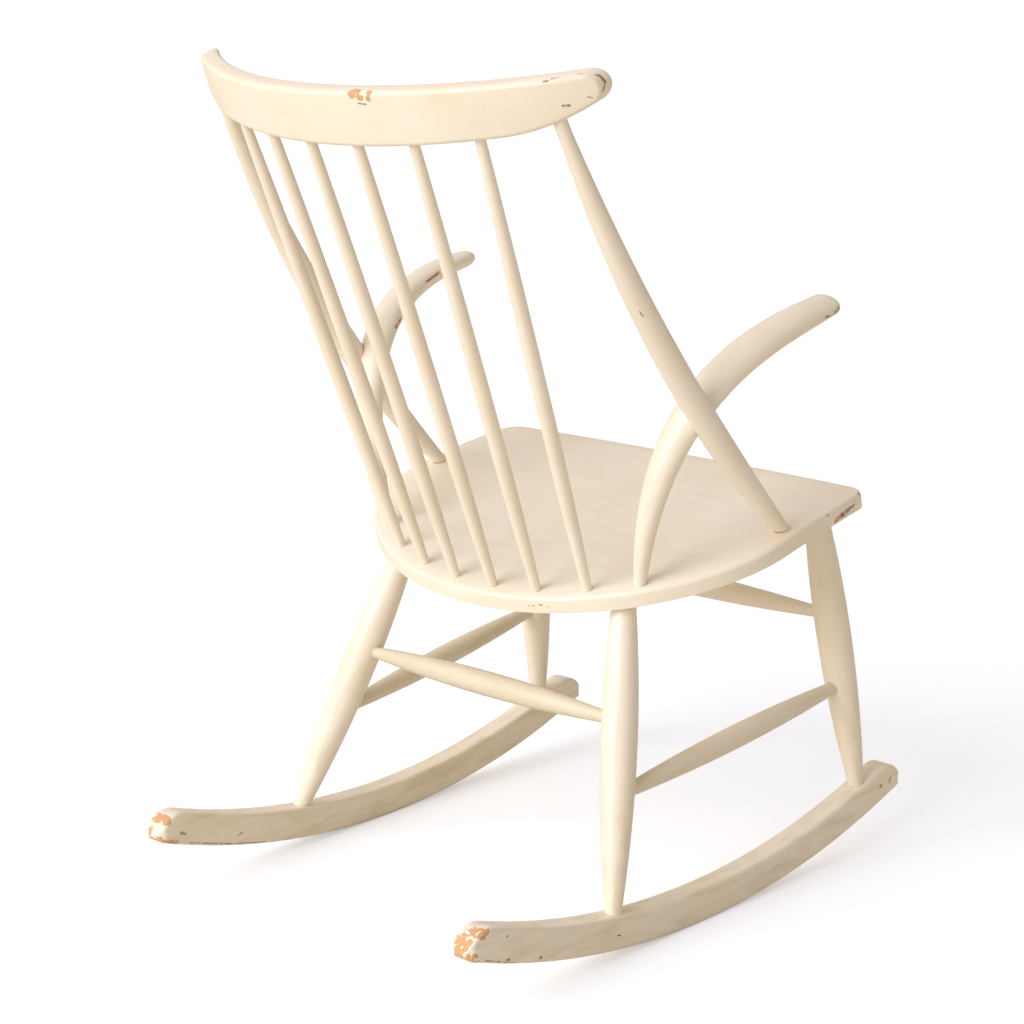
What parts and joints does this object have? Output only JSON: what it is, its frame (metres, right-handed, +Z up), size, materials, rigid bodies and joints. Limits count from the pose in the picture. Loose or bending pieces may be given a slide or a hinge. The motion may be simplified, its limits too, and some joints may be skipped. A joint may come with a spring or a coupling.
{
  "type": "spindle back rocking chair",
  "caption": "Painted wooden rocking chair with a spindle back, a bowed crest rail, horn shaped arms lapped on bowed posts, and a shaped seat on turned legs and curved runners.",
  "frame": {"origin": "on the floor, midway between the tips of the rockers and on the chair's plane of symmetry, where the rockers touch the floor", "axes": "+Z up, the chair faces -Y, +X to the sitter's left"},
  "size_m": [0.562, 0.7, 0.8955],
  "materials": {
    "aged_cream_paint": "satin oil paint, worn through to the wood in places",
    "bare_beech": "bare"
  },
  "bodies": {
    "root": {"seat": "aged_cream_paint", "crest_rail": "aged_cream_paint", "spindle_1_left": "aged_cream_paint", "spindle_1_right": "aged_cream_paint", "spindle_2_left": "aged_cream_paint", "spindle_2_right": "aged_cream_paint", "spindle_3_left": "aged_cream_paint", "spindle_3_right": "aged_cream_paint", "back_post_left": "aged_cream_paint", "back_post_right": "aged_cream_paint", "arm_left": "aged_cream_paint", "arm_right": "aged_cream_paint", "arm_dowel_left": "bare_beech", "arm_dowel_right": "bare_beech", "rear_leg_left": "aged_cream_paint", "rear_leg_right": "aged_cream_paint", "front_leg_left": "aged_cream_paint", "front_leg_right": "aged_cream_paint", "side_stretcher_left": "aged_cream_paint", "side_stretcher_right": "aged_cream_paint", "rear_stretcher": "aged_cream_paint", "front_stretcher": "aged_cream_paint", "rocker_left": "aged_cream_paint", "rocker_right": "aged_cream_paint"}
  },
  "joints": []
}
